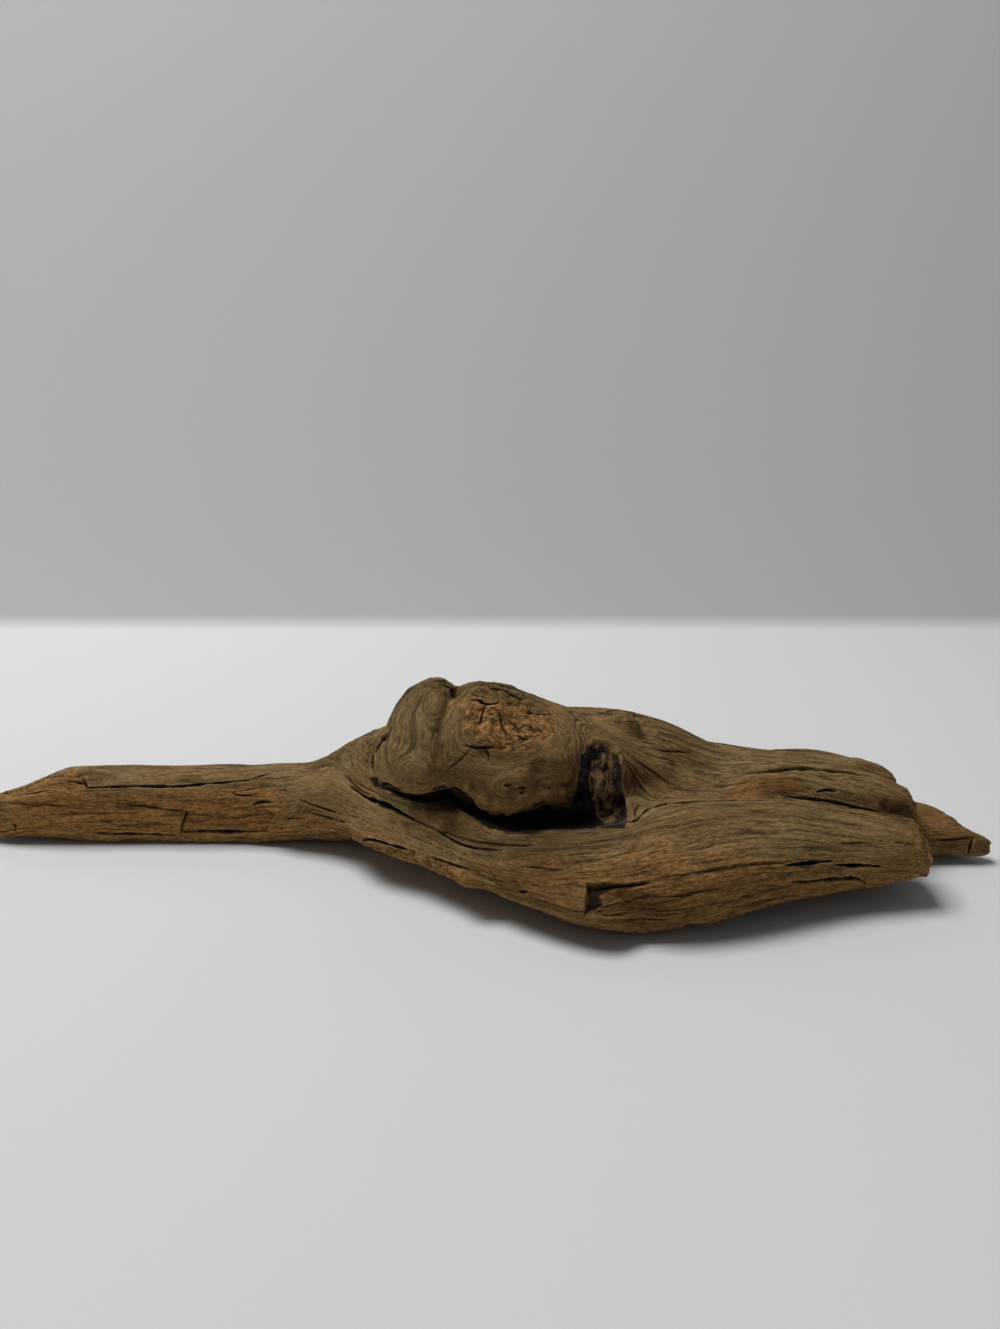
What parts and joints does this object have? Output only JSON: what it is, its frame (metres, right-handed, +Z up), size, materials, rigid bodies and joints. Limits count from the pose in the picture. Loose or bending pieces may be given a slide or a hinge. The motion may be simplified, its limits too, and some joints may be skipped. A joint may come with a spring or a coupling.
{
  "type": "piece of driftwood",
  "caption": "Weathered driftwood crotch with a burl over a dark bark pocket, a squared arm at one end and split rounded arms at the other, lying on its underside as a display piece.",
  "frame": {"origin": "centre of the bounding box on the surface that the wood lies on", "axes": "+X along the wood from the squared arm to the forked end, -Y towards the side that shows the burl's face, +Z up"},
  "size_m": [0.4602, 0.1316, 0.0842],
  "materials": {
    "weathered_wood": "matt, weathered grey-brown with rust-brown breaks and black bark pocket"
  },
  "bodies": {
    "root": {"driftwood": "weathered_wood"}
  },
  "joints": []
}
